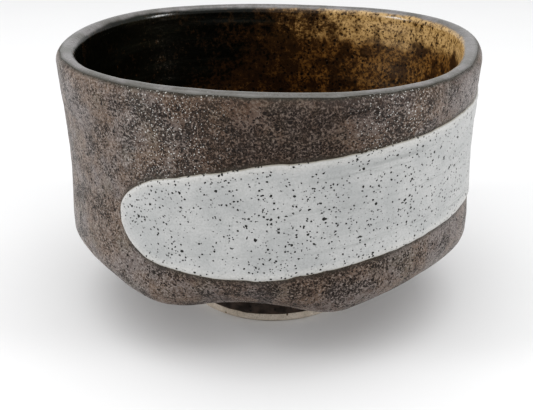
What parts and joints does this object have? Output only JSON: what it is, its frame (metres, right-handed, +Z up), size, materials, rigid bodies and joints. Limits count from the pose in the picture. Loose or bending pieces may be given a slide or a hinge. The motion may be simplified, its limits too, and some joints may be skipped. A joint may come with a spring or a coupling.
{
  "type": "matcha bowl",
  "caption": "Round tea bowl with straight walls, a low trimmed belly and a small foot ring, glazed inside and out, with a raised white brush stroke round one side.",
  "frame": {"origin": "on the table under the middle of the lip's outline, which is the middle of the base of the bounding box", "axes": "+Z up out of the bowl, -Y towards the front, where the white brush stroke starts, +X to the right, where it runs on round the side"},
  "size_m": [0.1188, 0.1177, 0.0768],
  "materials": {
    "clay": "matte",
    "bare_clay": "matte",
    "brown_glaze": "satin",
    "dark_glaze": "satin",
    "grey_glaze": "gloss",
    "black_glaze": "gloss",
    "amber_glaze": "gloss",
    "white_glaze": "satin"
  },
  "bodies": {
    "root": {"stoneware_body": "clay", "foot_ring": "bare_clay", "outer_glaze": "brown_glaze", "foot_glaze": "dark_glaze", "lip_glaze": "grey_glaze", "inner_glaze": "black_glaze", "amber_glaze": "amber_glaze", "white_brush_glaze": "white_glaze"}
  },
  "joints": []
}
